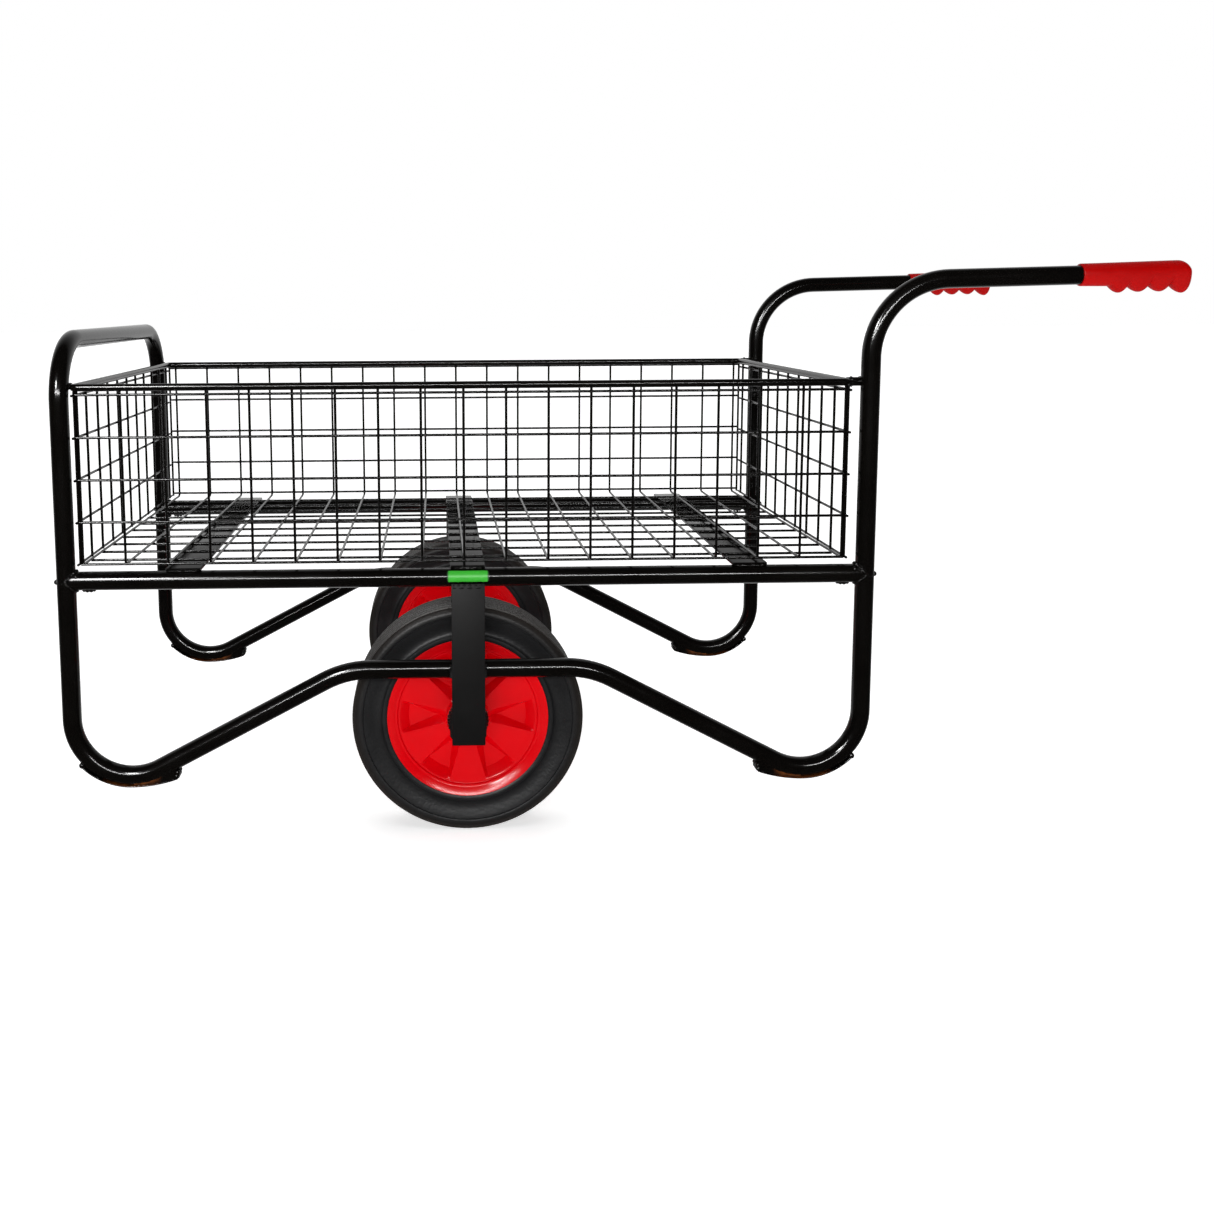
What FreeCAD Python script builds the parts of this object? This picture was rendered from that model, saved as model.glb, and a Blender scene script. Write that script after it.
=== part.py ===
import FreeCAD, Part
import math
import os
import Sketcher

V = FreeCAD.Vector

doc = FreeCAD.newDocument("garden_cart")

# ---------------------------------------------------------------- sizes (mm)
# X runs from the front hoop to the grips, Y across the cart, Z up.
# Everything is drawn from the axle and moved at the end, so that the origin
# is on the floor under the middle of the cart.
SIZES = [
    ("tube_dia", 33.7),
    ("tube_wall", 2.6),
    ("post_x", 717.5),
    ("frame_y", 392.7),
    ("rail_z", 494.0),
    ("hoop_z", 922.0),
    ("hoop_bend", 110.0),
    ("handle_bend", 137.0),
    ("handle_bend_z", 883.4),
    ("handle_rise", 1.2),
    ("handle_end", 1262.0),
    ("foot_z", 133.0),
    ("foot_bend", 106.0),
    ("leg_slope", 27.8),
    ("leg_mid_z", 325.0),
    ("leg_mid_bend", 180.0),
    ("slat_width", 62.0),
    ("slat_thick", 6.0),
    ("slat_span", 800.0),
    ("slat_x", 507.5),
    ("strap_width", 60.0),
    ("strap_thick", 5.0),
    ("strap_top", 490.0),
    ("strap_low", 188.0),
    ("plate_width", 67.0),
    ("plate_neck", 50.0),
    ("plate_top", 350.0),
    ("plate_shoulder", 240.0),
    ("plate_low", 182.0),
    ("axle_dia", 25.0),
    ("axle_z", 215.0),
    ("axle_play", 0.05),
    ("wheel_y", 303.0),
    ("wheel_dia", 430.0),
    ("tyre_width", 96.0),
    ("seat_radius", 151.0),
    ("bush_dia", 32.0),
    ("bush_length", 30.0),
    ("disc_dia", 77.0),
    ("collar_dia", 44.0),
    ("mesh_pitch", 75.0),
    ("mesh_x", -7.0),
    ("mesh_half_y", 398.0),
    ("mesh_base", 516.85),
    ("mesh_top", 829.5),
    ("wire_dia", 3.4),
    ("rim_dia", 13.3),
    ("rim_z", 839.5),
    ("rim_front", -693.7),
    ("rim_rear", 679.0),
    ("rim_corner", 20.0),
    ("stub_dia", 16.0),
    ("skid_width", 24.0),
    ("skid_thick", 2.5),
    ("skid_gap", 0.3),
    ("skid_flat_bend", 250.0),
    ("grip_start", 1079.0),
    ("grip_length", 198.0),
    ("grip_dia", 47.0),
    ("label_length", 75.0),
    ("label_thick", 0.4),
    ("axle_x", -271.5),
]

sheet = doc.addObject("Spreadsheet::Sheet", "Sizes")
for row, (alias, value) in enumerate(SIZES, start=1):
    sheet.set(f"A{row}", alias)
    sheet.set(f"B{row}", str(value))
    sheet.setAlias(f"B{row}", alias)
doc.recompute()


def size(alias):
    """The number in the sheet under this alias."""
    return float(sheet.get(alias))


PARTS = []


def keep(part, label):
    """Name a finished sub-part and list it for export."""
    part.Label = label
    PARTS.append(part)
    return part


ALONG_X = FreeCAD.Rotation(V(0, 1, 0), 90)
ALONG_Y = FreeCAD.Rotation(V(1, 0, 0), -90)
UPRIGHT = FreeCAD.Rotation(V(1, 0, 0), 90)
CROSSWISE = FreeCAD.Rotation(V(1, 1, 1), 120)
SIDES = (("left", -1), ("right", 1))

tube_r = size("tube_dia") / 2
post_x = size("post_x")
frame_y = size("frame_y")
rail_z = size("rail_z")


# ------------------------------------------------------------- bent tubes
def ring_sketch(body, name, place, outer, wall):
    """A ring of two circles, its sizes bound to the sheet."""
    ring = body.newObject("Sketcher::SketchObject", name)
    ring.Placement = place
    centre = Part.Circle(V(0, 0, 0), V(0, 0, 1), 10)
    hole = Part.Circle(V(0, 0, 0), V(0, 0, 1), 6)
    ring.addGeometry(centre, False)
    ring.addGeometry(hole, False)
    ring.addConstraint(Sketcher.Constraint("Coincident", 0, 3, -1, 1))
    ring.addConstraint(Sketcher.Constraint("Coincident", 1, 3, -1, 1))
    ring.addConstraint(Sketcher.Constraint("Diameter", 0, 20))
    ring.addConstraint(Sketcher.Constraint("Diameter", 1, 12))
    ring.setExpression("Constraints[2]", f"Sizes.{outer}")
    ring.setExpression("Constraints[3]", f"Sizes.{outer} - 2 * Sizes.{wall}")
    return ring


def bent_tube(label, edges, plane, start, start_turn, shift):
    """Sweep the tube's ring along a path drawn in a plane."""
    body = doc.addObject("PartDesign::Body", label)
    path = body.newObject("Sketcher::SketchObject", f"{label}_path")
    path.Placement = FreeCAD.Placement(V(0, 0, 0), plane)
    path.addGeometry(edges, False)
    ring = ring_sketch(body, f"{label}_ring", FreeCAD.Placement(start, start_turn),
                       "tube_dia", "tube_wall")
    doc.recompute()
    pipe = body.newObject("PartDesign::AdditivePipe", f"{label}_pipe")
    pipe.Profile = ring
    pipe.Spine = path
    body.Tip = pipe
    body.Placement = FreeCAD.Placement(shift, FreeCAD.Rotation())
    return keep(body, label)


def arc(centre_x, centre_y, radius, first, last):
    """An arc in a sketch, from one angle to another in degrees."""
    circle = Part.Circle(V(centre_x, centre_y, 0), V(0, 0, 1), radius)
    return Part.ArcOfCircle(circle, math.radians(first), math.radians(last))


def line(ax, ay, bx, by):
    """A straight edge in a sketch."""
    return Part.LineSegment(V(ax, ay, 0), V(bx, by, 0))


# The hoop stands across the front: up one side, over and down the other.
bend = size("hoop_bend")
top = size("hoop_z")
hoop_path = [
    line(-frame_y, rail_z, -frame_y, top - bend),
    arc(-frame_y + bend, top - bend, bend, 90, 180),
    line(-frame_y + bend, top, frame_y - bend, top),
    arc(frame_y - bend, top - bend, bend, 0, 90),
    line(frame_y, top - bend, frame_y, rail_z),
]
bent_tube("front_hoop", hoop_path, CROSSWISE, V(0, -frame_y, rail_z),
          FreeCAD.Rotation(), V(-post_x, 0, 0))

# Each handle tube rises at the rear and bends back to the grip.
bend = size("handle_bend")
bend_z = size("handle_bend_z")
rise = math.radians(size("handle_rise"))
turn_end_x = post_x + bend - bend * math.sin(rise)
turn_end_z = bend_z + bend * math.cos(rise)
handle_end = size("handle_end")
handle_end_z = turn_end_z + (handle_end - turn_end_x) * math.tan(rise)
handle_path = [
    line(post_x, rail_z, post_x, bend_z),
    arc(post_x + bend, bend_z, bend, 90 + size("handle_rise"), 180),
    line(turn_end_x, turn_end_z, handle_end, handle_end_z),
]
for side, sign in SIDES:
    bent_tube(f"handle_tube_{side}", handle_path, UPRIGHT, V(post_x, 0, rail_z),
              FreeCAD.Rotation(), V(0, sign * frame_y, 0))

# Each leg tube makes both feet: down, round the foot, up a slope to the
# level middle that meets the axle strap, and the same again to the rear.
bend = size("foot_bend")
slope = math.radians(size("leg_slope"))
foot_x = post_x - bend
foot_centre = size("foot_z") + bend
slope_x = foot_x - bend * math.sin(slope)
slope_z = foot_centre - bend * math.cos(slope)
mid_z = size("leg_mid_z")
mid_bend = size("leg_mid_bend")
corner_x = slope_x - (mid_z - slope_z) / math.tan(slope)
tangent = mid_bend * math.tan(slope / 2)
level_x = corner_x - tangent
knee_x = corner_x + tangent * math.cos(slope)
knee_z = mid_z - tangent * math.sin(slope)
degrees = size("leg_slope")
leg_path = [
    line(-post_x, rail_z, -post_x, foot_centre),
    arc(-foot_x, foot_centre, bend, 180, 270 + degrees),
    line(-slope_x, slope_z, -knee_x, knee_z),
    arc(-level_x, mid_z - mid_bend, mid_bend, 90, 90 + degrees),
    line(-level_x, mid_z, level_x, mid_z),
    arc(level_x, mid_z - mid_bend, mid_bend, 90 - degrees, 90),
    line(knee_x, knee_z, slope_x, slope_z),
    arc(foot_x, foot_centre, bend, 270 - degrees, 360),
    line(post_x, foot_centre, post_x, rail_z),
]
for side, sign in SIDES:
    bent_tube(f"leg_tube_{side}", leg_path, UPRIGHT, V(-post_x, 0, rail_z),
              FreeCAD.Rotation(), V(0, sign * frame_y, 0))


# ------------------------------------------------------------- side rails
# Straight tubes between the posts, their ends hollowed to sit on them.
for side, sign in SIDES:
    label = f"side_rail_{side}"
    body = doc.addObject("PartDesign::Body", label)
    ring = ring_sketch(body, f"{label}_ring", FreeCAD.Placement(V(0, 0, 0), ALONG_X),
                       "tube_dia", "tube_wall")
    pad = body.newObject("PartDesign::Pad", f"{label}_pad")
    pad.Profile = ring
    pad.SideType = "Symmetric"
    pad.setExpression("Length", "2 * Sizes.post_x")
    cope = body.newObject("Sketcher::SketchObject", f"{label}_cope")
    for number, end in enumerate((-1, 1)):
        cope.addGeometry(Part.Circle(V(end * post_x, 0, 0), V(0, 0, 1), tube_r), False)
        cope.addConstraint(Sketcher.Constraint("Radius", number, tube_r))
        cope.setExpression(f"Constraints[{number}]", "Sizes.tube_dia / 2")
    pocket = body.newObject("PartDesign::Pocket", f"{label}_pocket")
    pocket.Profile = cope
    pocket.Type = "ThroughAll"
    pocket.SideType = "Symmetric"
    body.Tip = pocket
    body.Placement = FreeCAD.Placement(V(0, sign * frame_y, rail_z), FreeCAD.Rotation())
    keep(body, label)


# ------------------------------------------------------------ flat steel
def flat_bar(label, lengths, place):
    """A plain flat bar whose three sides follow the sheet."""
    bar = doc.addObject("Part::Box", label)
    for name, text in zip(("Length", "Width", "Height"), lengths):
        bar.setExpression(name, text)
    bar.Placement = FreeCAD.Placement(place, FreeCAD.Rotation())
    return bar


slat_z = rail_z + tube_r
for name, middle in (("front", -1), ("middle", 0), ("rear", 1)):
    bar = flat_bar(f"deck_slat_{name}",
                   ("Sizes.slat_width", "Sizes.slat_span", "Sizes.slat_thick"),
                   V(middle * size("slat_x") - size("slat_width") / 2,
                     -size("slat_span") / 2, slat_z))
    keep(bar, f"deck_slat_{name}")

strap_thick = size("strap_thick")
for side, sign in SIDES:
    # The strap hangs outside the rail and the leg tube and carries the axle.
    face = frame_y + tube_r
    start = face if sign > 0 else -face - strap_thick
    bar = flat_bar(f"axle_strap_{side}",
                   ("Sizes.strap_width", "Sizes.strap_thick",
                    "Sizes.strap_top - Sizes.strap_low"),
                   V(-size("strap_width") / 2, start, size("strap_low")))
    keep(bar, f"axle_strap_{side}")

    # The plate stands inside the leg tube, with a wide foot round the axle.
    face = frame_y - tube_r
    label = f"axle_plate_{side}"
    body = doc.addObject("PartDesign::Body", label)
    drawing = body.newObject("Sketcher::SketchObject", f"{label}_outline")
    drawing.Placement = FreeCAD.Placement(V(0, 0, 0), UPRIGHT)
    low = size("plate_low")
    shoulder = size("plate_shoulder")
    wide = size("plate_width") / 2
    neck = size("plate_neck") / 2
    half_outline = [(wide - 7, low), (wide, low + 9), (wide, shoulder - 7),
                    (neck, shoulder + 6), (neck, size("plate_top"))]
    outline = half_outline + [(-x, z) for x, z in half_outline[::-1]]
    for here, there in zip(outline, outline[1:] + outline[:1]):
        drawing.addGeometry(line(*here, *there), False)
    drawing.addGeometry(Part.Circle(V(0, size("axle_z"), 0), V(0, 0, 1), 12), False)
    drawing.addConstraint(Sketcher.Constraint("Radius", len(outline), 12))
    drawing.setExpression("Constraints[0]", "Sizes.axle_dia / 2")
    pad = body.newObject("PartDesign::Pad", f"{label}_pad")
    pad.Profile = drawing
    pad.setExpression("Length", "Sizes.strap_thick")
    body.Tip = pad
    start = face if sign > 0 else strap_thick - face
    body.Placement = FreeCAD.Placement(V(0, start, 0), FreeCAD.Rotation())
    keep(body, label)


# ------------------------------------------------------------ foot skids
# A strip bent to the foot's own curve where the post comes down, and more
# gently towards the slope, so that its inner end stands off the tube.
reach = bend + tube_r + size("skid_gap")
thick = size("skid_thick")
flat_bend = size("skid_flat_bend")
steep = 225
shallow = 289.5


def around(centre_z, radius, degrees):
    """The point at this angle on a circle below the foot's own centre line."""
    angle = math.radians(degrees)
    return radius * math.cos(angle), centre_z + radius * math.sin(angle)


flat_centre = foot_centre - reach - thick + flat_bend
steep_ends = [around(foot_centre, reach + deep, steep) for deep in (0, thick)]
shallow_ends = [around(flat_centre, flat_bend - thick + deep, shallow) for deep in (0, thick)]
skid_path = [
    arc(0, foot_centre, reach + thick, steep, 270),
    arc(0, flat_centre, flat_bend, 270, shallow),
    line(*shallow_ends[1], *shallow_ends[0]),
    arc(0, flat_centre, flat_bend - thick, 270, shallow),
    arc(0, foot_centre, reach, steep, 270),
    line(*steep_ends[0], *steep_ends[1]),
]
for side, sign in SIDES:
    for name, end in (("front", -1), ("rear", 1)):
        label = f"foot_skid_{name}_{side}"
        body = doc.addObject("PartDesign::Body", label)
        drawing = body.newObject("Sketcher::SketchObject", f"{label}_outline")
        drawing.Placement = FreeCAD.Placement(V(0, 0, 0), UPRIGHT)
        drawing.addGeometry(skid_path, False)
        pad = body.newObject("PartDesign::Pad", f"{label}_pad")
        pad.Profile = drawing
        pad.SideType = "Symmetric"
        pad.setExpression("Length", "Sizes.skid_width")
        body.Tip = pad
        turn = FreeCAD.Rotation(V(0, 0, 1), 0 if end < 0 else 180)
        body.Placement = FreeCAD.Placement(V(end * foot_x, sign * frame_y, 0), turn)
        keep(body, label)


# --------------------------------------------------------------- basket
def grille(label, across, up, columns, rows, place):
    """A flat welded mesh: a thin sheet with one row of square holes after another."""
    wire = size("wire_dia")
    body = doc.addObject("PartDesign::Body", label)
    outline = body.newObject("Sketcher::SketchObject", f"{label}_outline")
    half_x = across * columns / 2 + wire / 2
    half_y = up * rows / 2 + wire / 2
    corners = [(-half_x, -half_y), (half_x, -half_y), (half_x, half_y), (-half_x, half_y)]
    for here, there in zip(corners, corners[1:] + corners[:1]):
        outline.addGeometry(line(*here, *there), False)
    sheet_pad = body.newObject("PartDesign::Pad", f"{label}_pad")
    sheet_pad.Profile = outline
    sheet_pad.SideType = "Symmetric"
    sheet_pad.setExpression("Length", "Sizes.wire_dia")
    window = body.newObject("Sketcher::SketchObject", f"{label}_window")
    left = -across * columns / 2 + wire / 2
    low = -up * rows / 2 + wire / 2
    right = left + across - wire
    high = low + up - wire
    corners = [(left, low), (right, low), (right, high), (left, high)]
    for here, there in zip(corners, corners[1:] + corners[:1]):
        window.addGeometry(line(*here, *there), False)
    hole = body.newObject("PartDesign::Pocket", f"{label}_hole")
    hole.Profile = window
    hole.Type = "ThroughAll"
    hole.SideType = "Symmetric"
    grid = body.newObject("PartDesign::MultiTransform", f"{label}_grid")
    grid.Originals = [hole]
    steps = []
    for axis, pitch, count in (("H_Axis", across, columns), ("V_Axis", up, rows)):
        step = body.newObject("PartDesign::LinearPattern", f"{label}_{axis}")
        step.Direction = (window, [axis])
        step.Length = pitch * (count - 1)
        step.Occurrences = count
        steps.append(step)
    grid.Transformations = steps
    body.Tip = grid
    body.Placement = place
    return keep(body, label)


pitch = size("mesh_pitch")
wire = size("wire_dia")
mesh_x = size("mesh_x")
mesh_y = size("mesh_half_y")
floor_z = size("mesh_base") + wire / 2
side_rows = (size("mesh_top") - floor_z) / 4
side_middle = (size("mesh_top") + floor_z) / 2
floor_columns = 18
grille("mesh_floor", pitch, (2 * mesh_y - 2 * wire) / 11, floor_columns, 11,
       FreeCAD.Placement(V(mesh_x, 0, floor_z), FreeCAD.Rotation()))
for side, sign in SIDES:
    grille(f"mesh_side_{side}", pitch, side_rows, floor_columns, 4,
           FreeCAD.Placement(V(mesh_x, sign * mesh_y, side_middle), UPRIGHT))
end_up = (size("mesh_top") - floor_z - wire) / 4
end_middle = (size("mesh_top") + floor_z + wire) / 2
end_across = (2 * mesh_y - 2 * wire) / 11
for name, end in (("front", -1), ("rear", 1)):
    grille(f"mesh_{name}", end_across, end_up, 11, 4,
           FreeCAD.Placement(V(mesh_x + end * floor_columns * pitch / 2, 0, end_middle),
                             CROSSWISE))

# The rim is one rod bent into a loop round the top of the mesh.
front = size("rim_front")
rear = size("rim_rear")
corner = size("rim_corner")
rim_z = size("rim_z")
rim_r = size("rim_dia") / 2
rim_y = frame_y
runs = [
    (V(front + corner, -rim_y, rim_z), V(1, 0, 0), rear - front - 2 * corner),
    (V(rear, -rim_y + corner, rim_z), V(0, 1, 0), 2 * (rim_y - corner)),
    (V(front + corner, rim_y, rim_z), V(1, 0, 0), rear - front - 2 * corner),
    (V(front, -rim_y + corner, rim_z), V(0, 1, 0), 2 * (rim_y - corner)),
]
bends = [(front + corner, -rim_y + corner, 180), (rear - corner, -rim_y + corner, 270),
         (rear - corner, rim_y - corner, 0), (front + corner, rim_y - corner, 90)]
pieces = [Part.makeCylinder(rim_r, length, at, way) for at, way, length in runs]
for x, y, first in bends:
    quarter = Part.makeTorus(corner, rim_r, V(0, 0, 0), V(0, 0, 1), 0, 360, 90)
    quarter.Placement = FreeCAD.Placement(V(x, y, rim_z), FreeCAD.Rotation(V(0, 0, 1), first))
    pieces.append(quarter)
loop = pieces[0].fuse(pieces[1:]).removeSplitter()
rim = doc.addObject("Part::Feature", "basket_rim")
rim.Shape = loop.Solids[0] if len(loop.Solids) == 1 else loop
keep(rim, "basket_rim")

# A short stub joins the rim to each handle tube, close to the rear corner.
stub_y = frame_y - 12
for side, sign in SIDES:
    label = f"rim_stub_{side}"
    blank = doc.addObject("Part::Cylinder", f"{label}_blank")
    blank.setExpression("Radius", "Sizes.stub_dia / 2")
    blank.setExpression("Height", "Sizes.post_x - Sizes.rim_rear - Sizes.rim_dia / 2 + 4")
    blank.Placement = FreeCAD.Placement(V(rear + rim_r - 4, sign * stub_y, rim_z), ALONG_X)
    post = doc.addObject("Part::Cylinder", f"{label}_post")
    post.setExpression("Radius", "Sizes.tube_dia / 2")
    post.setExpression("Height", "4 * Sizes.stub_dia")
    post.Placement = FreeCAD.Placement(V(post_x, sign * frame_y, rim_z - 2 * size("stub_dia")),
                                       FreeCAD.Rotation())
    trimmed = doc.addObject("Part::Cut", f"{label}_trimmed")
    trimmed.Base = blank
    trimmed.Tool = post
    rod = doc.addObject("Part::Cylinder", f"{label}_rod")
    rod.setExpression("Radius", "Sizes.rim_dia / 2")
    rod.setExpression("Height", "8 * Sizes.stub_dia")
    rod.Placement = FreeCAD.Placement(V(rear, sign * stub_y - 4 * size("stub_dia"), rim_z), ALONG_Y)
    stub = doc.addObject("Part::Cut", label)
    stub.Base = trimmed
    stub.Tool = rod
    keep(stub, label)


# ------------------------------------------------------------ turned parts
def turned(label, profile, place):
    """Turn a closed outline, drawn as radius against length, about +Z."""
    body = doc.addObject("PartDesign::Body", label)
    outline = body.newObject("Sketcher::SketchObject", f"{label}_outline")
    outline.Placement = FreeCAD.Placement(V(0, 0, 0), UPRIGHT)
    for here, there in zip(profile, profile[1:] + profile[:1]):
        outline.addGeometry(line(*here, *there), False)
    turned_solid = body.newObject("PartDesign::Revolution", f"{label}_turned")
    turned_solid.Profile = outline
    turned_solid.ReferenceAxis = (outline, ["V_Axis"])
    turned_solid.Angle = 360
    body.Tip = turned_solid
    body.Placement = place
    return body


seat = size("seat_radius")
bush_r = size("bush_dia") / 2
wheel_profile = [(bush_r, 46), (40, 46), (40, 31), (131, 31), (131, 35), (138, 40), (seat, 40),
                 (seat, -40), (138, -40), (131, -35), (128, -2), (44, -2), (40, -46),
                 (bush_r, -46)]
tread = size("wheel_dia") / 2
half = size("tyre_width") / 2
tyre_profile = [(seat, 42), (seat + 8, 44), (seat + 20, 45.5), (seat + 36, half),
                (tread - 9, half - 1),
                (tread - 3, half - 6), (tread, half - 22), (tread, 22 - half),
                (tread - 3, 6 - half), (tread - 9, 1 - half), (seat + 36, -half),
                (seat + 20, -45.5), (seat + 8, -44), (seat, -42),
                (seat, -26), (seat + 14, -34), (seat + 34, -38), (tread - 14, -30),
                (tread - 10, 0), (tread - 14, 30), (seat + 34, 38), (seat + 14, 34), (seat, 26)]

axle_z = size("axle_z")
wheel_y = size("wheel_y")
bore = size("axle_dia") / 2 + size("axle_play")
for side, sign in SIDES:
    # Local +Z of every turned part points outwards from the cart.
    outward = ALONG_Y if sign > 0 else UPRIGHT
    hub = FreeCAD.Placement(V(0, sign * wheel_y, axle_z), outward)

    body = turned(f"wheel_centre_{side}", wheel_profile, hub)
    # Six pockets sunk between six raised wedges on the outer face.
    low_r = 50
    high_r = 125
    spread = math.radians(13)
    sector = body.newObject("Sketcher::SketchObject", f"wheel_pocket_{side}")
    sector.Placement = FreeCAD.Placement(V(0, 0, 60), FreeCAD.Rotation())
    sector.addGeometry(arc(0, 0, low_r, -13, 13), False)
    sector.addGeometry(arc(0, 0, high_r, -13, 13), False)
    for way in (-1, 1):
        sector.addGeometry(line(low_r * math.cos(spread), way * low_r * math.sin(spread),
                                high_r * math.cos(spread), way * high_r * math.sin(spread)),
                           False)
    cut = body.newObject("PartDesign::Pocket", f"wheel_pocket_{side}_cut")
    cut.Profile = sector
    cut.Length = 50
    pockets = body.newObject("PartDesign::PolarPattern", f"wheel_pocket_{side}_ring")
    pockets.Originals = [cut]
    pockets.Axis = (sector, ["N_Axis"])
    pockets.Angle = 360
    pockets.Occurrences = 6
    body.Tip = pockets
    keep(body, f"wheel_centre_{side}")

    keep(turned(f"tyre_{side}", tyre_profile, hub), f"tyre_{side}")
    for name, low in (("outer", 46 - size("bush_length")), ("inner", -46)):
        high = low + size("bush_length")
        bush_profile = [(bore, low), (bush_r, low), (bush_r, high), (bore, high)]
        keep(turned(f"hub_bush_{name}_{side}", bush_profile, hub), f"hub_bush_{name}_{side}")

    disc_r = size("disc_dia") / 2
    disc_profile = [(bore, 46), (disc_r - 2, 46), (disc_r, 48), (disc_r, 58), (disc_r - 2, 60),
                    (bore, 60)]
    keep(turned(f"hub_disc_{side}", disc_profile, hub), f"hub_disc_{side}")

    axle_r = size("axle_dia") / 2
    gap = frame_y - tube_r - strap_thick - wheel_y
    spacer_profile = [(axle_r, 60.3), (22, 60.3), (22, gap), (axle_r, gap)]
    keep(turned(f"axle_spacer_{side}", spacer_profile, hub), f"axle_spacer_{side}")
    washer_profile = [(axle_r, -49.3), (24, -49.3), (24, -46.3), (axle_r, -46.3)]
    keep(turned(f"axle_washer_{side}", washer_profile, hub), f"axle_washer_{side}")
    collar_r = size("collar_dia") / 2
    collar_profile = [(axle_r, -64.3), (collar_r, -64.3), (collar_r, -49.3), (axle_r, -49.3)]
    keep(turned(f"axle_collar_{side}", collar_profile, hub), f"axle_collar_{side}")

axle = doc.addObject("Part::Cylinder", "axle_shaft")
axle.setExpression("Radius", "Sizes.axle_dia / 2")
axle.setExpression("Height", "2 * Sizes.frame_y + Sizes.tube_dia")
axle.Placement = FreeCAD.Placement(V(0, -frame_y - tube_r, axle_z), ALONG_Y)
keep(axle, "axle_shaft")


# ----------------------------------------------------------------- grips
# A moulded sleeve with a plain collar and four finger swells, closed at the end.
grip_r = size("grip_dia") / 2
long = size("grip_length")
sleeve = tube_r
grip_profile = [(sleeve, 0), (19.5, 0), (20.5, 2), (20.5, 46), (22.5, 52)]
for swell in range(4):
    base = 54 + swell * 35.5
    grip_profile += [(grip_r + 1.2, base + 9), (grip_r + 1.8, base + 18),
                     (grip_r + 1.2, base + 27), (22.5, base + 34.5)]
grip_profile = grip_profile[:-1] + [(grip_r - 1, long - 4), (19.0, long), (0, long),
                                    (0, handle_end - size("grip_start") + 3),
                                    (sleeve, handle_end - size("grip_start") + 3)]
grip_start = size("grip_start")
grip_z = turn_end_z + (grip_start - turn_end_x) * math.tan(rise)
for side, sign in SIDES:
    aim = FreeCAD.Rotation(V(0, 1, 0), 90 - size("handle_rise"))
    place = FreeCAD.Placement(V(grip_start, sign * frame_y, grip_z), aim)
    keep(turned(f"hand_grip_{side}", grip_profile, place), f"hand_grip_{side}")

# ----------------------------------------------------------------- label
# A thin sticker wrapped on the outside of the near rail, over the strap.
label_outer = doc.addObject("Part::Cylinder", "label_outer")
label_outer.setExpression("Radius", "Sizes.tube_dia / 2 + Sizes.label_thick")
label_outer.setExpression("Height", "Sizes.label_length")
label_outer.Angle = 88
label_inner = doc.addObject("Part::Cylinder", "label_inner")
label_inner.setExpression("Radius", "Sizes.tube_dia / 2")
label_inner.setExpression("Height", "Sizes.label_length")
label_spin = ALONG_X.multiply(FreeCAD.Rotation(V(0, 0, 1), 209))
label_at = V(-size("label_length") / 2, -frame_y, rail_z)
label_outer.Placement = FreeCAD.Placement(label_at, label_spin)
label_inner.Placement = FreeCAD.Placement(label_at, ALONG_X)
label_patch = doc.addObject("Part::Cut", "maker_label")
label_patch.Base = label_outer
label_patch.Tool = label_inner
keep(label_patch, "maker_label")

# ---------------------------------------------------------------- export
for part in PARTS:
    part.Placement.Base = part.Placement.Base + V(size("axle_x"), 0, 0)
doc.recompute()
for item in doc.Objects:
    if "Invalid" in item.State or "Error" in item.State:
        raise RuntimeError(f"{item.Label} did not build: {item.State}")
os.makedirs("parts", exist_ok=True)
for part in PARTS:
    shape = part.Shape
    if shape.isNull() or not shape.isValid() or not shape.Solids:
        raise RuntimeError(f"{part.Label} has a bad shape")
    print(part.Label, len(shape.Solids), round(shape.Volume), shape.BoundBox)
    shape.exportStep(f"parts/{part.Label}.step")
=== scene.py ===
import math
import bpy
import numpy as np
from mathutils import Matrix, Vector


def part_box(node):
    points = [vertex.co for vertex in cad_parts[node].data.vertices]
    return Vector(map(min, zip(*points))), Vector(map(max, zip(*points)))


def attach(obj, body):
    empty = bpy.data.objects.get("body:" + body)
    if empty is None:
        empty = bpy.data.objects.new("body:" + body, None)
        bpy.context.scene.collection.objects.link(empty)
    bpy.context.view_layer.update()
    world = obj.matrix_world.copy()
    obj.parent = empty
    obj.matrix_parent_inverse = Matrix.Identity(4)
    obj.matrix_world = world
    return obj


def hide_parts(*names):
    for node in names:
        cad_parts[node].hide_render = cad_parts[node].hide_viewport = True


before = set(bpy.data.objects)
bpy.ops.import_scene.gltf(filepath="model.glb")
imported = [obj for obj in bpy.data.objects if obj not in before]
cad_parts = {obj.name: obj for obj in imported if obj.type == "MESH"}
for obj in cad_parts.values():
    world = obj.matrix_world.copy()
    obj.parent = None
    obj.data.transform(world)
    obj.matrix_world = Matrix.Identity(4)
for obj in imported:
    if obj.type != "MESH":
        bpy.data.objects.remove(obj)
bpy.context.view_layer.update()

# ---- Side rails -------------------------------------------------------------
# Two straight lengths of round steel tube that carry the deck. They are cut to
# sit on the upright tubes, welded all round and powder coated gloss black.


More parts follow.
